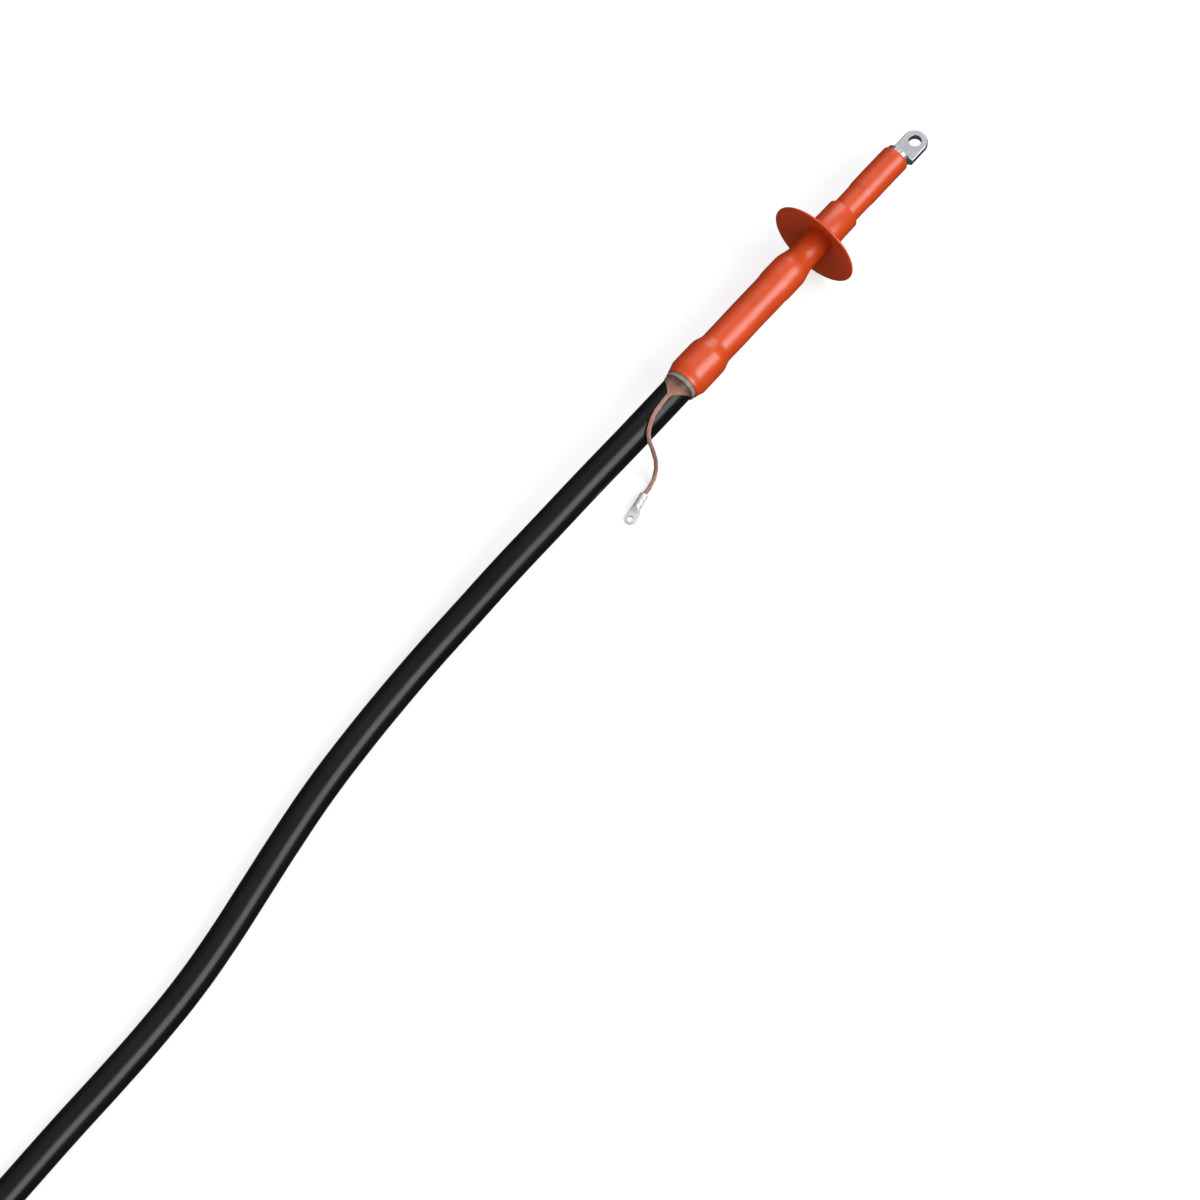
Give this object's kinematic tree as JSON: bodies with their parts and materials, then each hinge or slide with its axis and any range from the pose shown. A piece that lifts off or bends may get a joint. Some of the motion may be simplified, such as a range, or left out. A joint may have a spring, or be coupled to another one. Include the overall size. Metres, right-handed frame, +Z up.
{
  "type": "cable termination",
  "caption": "Red heat-shrink termination with a rain shed on a black single-core cable, with a terminal lug and a copper screen tail.",
  "frame": {"origin": "centre of the terminal lug's bolt hole, on the palm's contact face", "axes": "+X along the termination's axis towards the lug, +Z up and out of the palm's upper face, lying as it comes to rest"},
  "size_m": [1.5555, 0.1222, 0.0988],
  "materials": {
    "lug_metal": "satin",
    "conductor_metal": "satin",
    "copper": "satin",
    "red_tube": "satin",
    "red_mastic": "matte",
    "grey_mastic": "matte",
    "stress_mastic": "matte",
    "jacket": "satin",
    "conductive_black": "matte",
    "insulation": "satin",
    "tape": "matte"
  },
  "bodies": {
    "root": {"terminal_lug": "lug_metal", "conductor": "conductor_metal", "conductor_screen": "conductive_black", "insulation": "insulation", "insulation_screen": "conductive_black", "swelling_tape": "tape", "screen_wires": "copper", "binding_wire": "lug_metal", "cable_jacket": "jacket", "stress_mastic": "stress_mastic", "stress_control_tube": "conductive_black", "filler_mastic": "red_mastic", "lug_mastic": "red_mastic", "sealing_mastic": "grey_mastic", "outer_tube": "red_tube", "rain_shed": "red_tube", "free_cable": "jacket", "earth_lead": "copper", "earth_lug": "lug_metal"}
  },
  "joints": []
}
